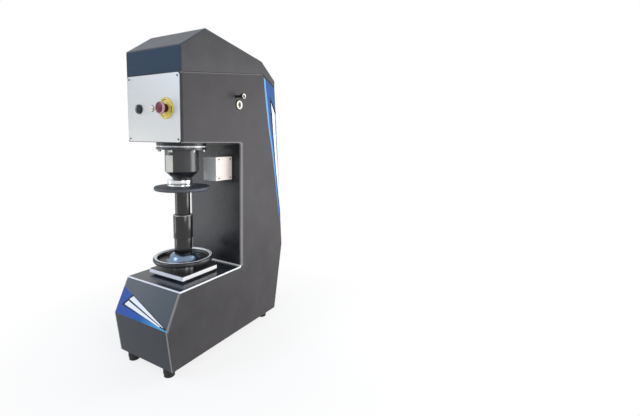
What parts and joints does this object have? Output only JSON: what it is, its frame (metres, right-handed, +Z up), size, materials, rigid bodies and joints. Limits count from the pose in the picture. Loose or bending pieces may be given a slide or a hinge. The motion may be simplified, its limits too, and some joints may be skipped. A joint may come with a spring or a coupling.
{
  "type": "hardness tester",
  "caption": "Floor-standing C-frame ball-indentation hardness tester with a motor-driven spindle in a bell, a handwheel-raised anvil and a sheet-metal casing.",
  "frame": {"origin": "centre of the whole bounding box, at floor level under the feet", "axes": "+Z up, -Y the operator's side (front), +X the operator's right, with the knob and key switch"},
  "size_m": [0.328, 0.6808, 1.2207],
  "materials": {
    "casing_paint": "fine textured satin powder coat",
    "table_paint": "gloss black",
    "badge_paint": "satin",
    "bell_paint": "semi-gloss black",
    "tube_paint": "satin black",
    "frame_paint": "primer grey",
    "motor_paint": "satin black",
    "blued_steel": "blackened, oiled",
    "ground_steel": "ground",
    "bearing_steel": "polished",
    "screw_steel": "zinc plated",
    "nut_bronze": "machined",
    "wheel_chrome": "polished",
    "switch_chrome": "satin",
    "plate_aluminium": "fine brushed",
    "housing_aluminium": "anodised satin",
    "turret_aluminium": "anodised grey",
    "pulley_aluminium": "machined",
    "drive_aluminium": "anodised dark",
    "label_metal": "printed blank",
    "foot_rubber": "matt",
    "belt_rubber": "matt",
    "black_plastic": "semi-gloss",
    "legend_yellow": "satin",
    "estop_red": "gloss",
    "lamp_lens": "translucent lens"
  },
  "bodies": {
    "machine": {"base_bottom_plate": "casing_paint", "base_front_panel": "casing_paint", "base_top_plate": "table_paint", "side_panel_right": "casing_paint", "side_panel_left": "casing_paint", "throat_panel": "casing_paint", "head_front_panel": "casing_paint", "hood": "casing_paint", "badge_panel": "badge_paint", "rear_cover": "casing_paint", "rear_cover_screws": "screw_steel", "mains_inlet": "black_plastic", "foot_pads": "foot_rubber", "foot_studs": "screw_steel", "load_frame": "frame_paint", "nut_plate": "blued_steel", "thrust_bearing": "bearing_steel", "guide_bush": "blued_steel", "bell_ring": "ground_steel", "bell_housing": "bell_paint", "bell_label": "label_metal", "bell_bolts": "screw_steel", "bearing_housing": "frame_paint", "screw_bearings": "bearing_steel", "drive_belt": "belt_rubber", "drive_motor": "motor_paint", "motor_bracket": "frame_paint", "control_plate": "plate_aluminium", "panel_screws": "screw_steel", "estop_body": "black_plastic", "estop_legend": "legend_yellow", "selector_body": "black_plastic", "pilot_lamp": "lamp_lens", "knob_dimmer": "black_plastic", "keyswitch_body": "switch_chrome", "camera_housing": "housing_aluminium", "camera_end_plate": "housing_aluminium", "drive_unit": "drive_aluminium"},
    "handwheel": {"handwheel": "wheel_chrome", "elevating_nut": "nut_bronze", "lower_cover_tube": "tube_paint"},
    "cover_sleeve": {"cover_sleeve": "tube_paint"},
    "elevating_screw": {"upper_cover_tube": "tube_paint", "elevating_screw": "ground_steel", "anvil": "blued_steel", "test_blocks": "ground_steel"},
    "spindle": {"spindle": "ground_steel", "load_cell": "ground_steel", "load_nut": "bearing_steel"},
    "turret": {"turret_arm": "turret_aluminium", "indenter": "ground_steel", "objective": "turret_aluminium"},
    "ball_screw": {"ball_screw": "bearing_steel", "driven_pulley": "pulley_aluminium"},
    "motor_rotor": {"drive_pulley": "pulley_aluminium"},
    "estop_plunger": {"estop_plunger": "black_plastic"},
    "estop_head": {"estop_head": "estop_red"},
    "selector_knob": {"selector_knob": "black_plastic"},
    "side_knob": {"side_knob": "black_plastic"},
    "keyswitch_plug": {"keyswitch_plug": "switch_chrome"}
  },
  "joints": [
    {"name": "handwheel_turn", "type": "hinge", "parent": "machine", "child": "handwheel", "pos_m": [-0.019, -0.1365, 0.372], "axis": [0, 0, 1], "range_deg": [-30, 4500]},
    {"name": "screw_lift", "type": "slide", "parent": "machine", "child": "elevating_screw", "axis": [0, 0, 1], "range_m": [-0.1501, 0.0011]},
    {"name": "sleeve_slide", "type": "slide", "parent": "machine", "child": "cover_sleeve", "axis": [0, 0, 1], "range_m": [-0.0586, 0.0005]},
    {"name": "ball_screw_turn", "type": "hinge", "parent": "machine", "child": "ball_screw", "pos_m": [-0.019, -0.1365, 1.05], "axis": [0, 0, 1], "range_deg": [0, 864]},
    {"name": "motor_turn", "type": "hinge", "parent": "machine", "child": "motor_rotor", "pos_m": [-0.019, 0.0235, 1.1], "axis": [0, 0, 1], "range_deg": [0, 2592.5]},
    {"name": "spindle_feed", "type": "slide", "parent": "machine", "child": "spindle", "axis": [0, 0, -1], "range_m": [0, 0.01201]},
    {"name": "turret_swing", "type": "hinge", "parent": "spindle", "child": "turret", "pos_m": [-0.019, -0.1145, 0.728], "axis": [0, 0, -1], "range_deg": [0, 60]},
    {"name": "estop_push", "type": "slide", "parent": "machine", "child": "estop_plunger", "axis": [0, 1, 0], "range_m": [0, 0.0045], "stiffness_N_per_m": 400},
    {"name": "estop_twist", "type": "hinge", "parent": "estop_plunger", "child": "estop_head", "pos_m": [0.0495, -0.2805, 0.939], "axis": [0, 1, 0], "range_deg": [0, 35], "stiffness_Nm_per_rad": 0.05},
    {"name": "selector_turn", "type": "hinge", "parent": "machine", "child": "selector_knob", "pos_m": [-0.0925, -0.2705, 0.939], "axis": [0, 1, 0], "range_deg": [0, 60]},
    {"name": "knob_turn", "type": "hinge", "parent": "machine", "child": "side_knob", "pos_m": [0.141, 0.0125, 1.003], "axis": [1, 0, 0], "range_deg": [-135, 135]},
    {"name": "key_turn", "type": "hinge", "parent": "machine", "child": "keyswitch_plug", "pos_m": [0.126, 0.0265, 0.972], "axis": [1, 0, 0], "range_deg": [0, 90]}
  ],
  "couplings": [
    {"joint": "screw_lift", "follows": "handwheel_turn", "m_per_rad": -0.0019099},
    {"joint": "sleeve_slide", "follows": "handwheel_turn", "m_per_rad": -0.00074484},
    {"joint": "motor_turn", "follows": "ball_screw_turn", "ratio": 3},
    {"joint": "spindle_feed", "follows": "ball_screw_turn", "m_per_rad": 0.00079577}
  ]
}
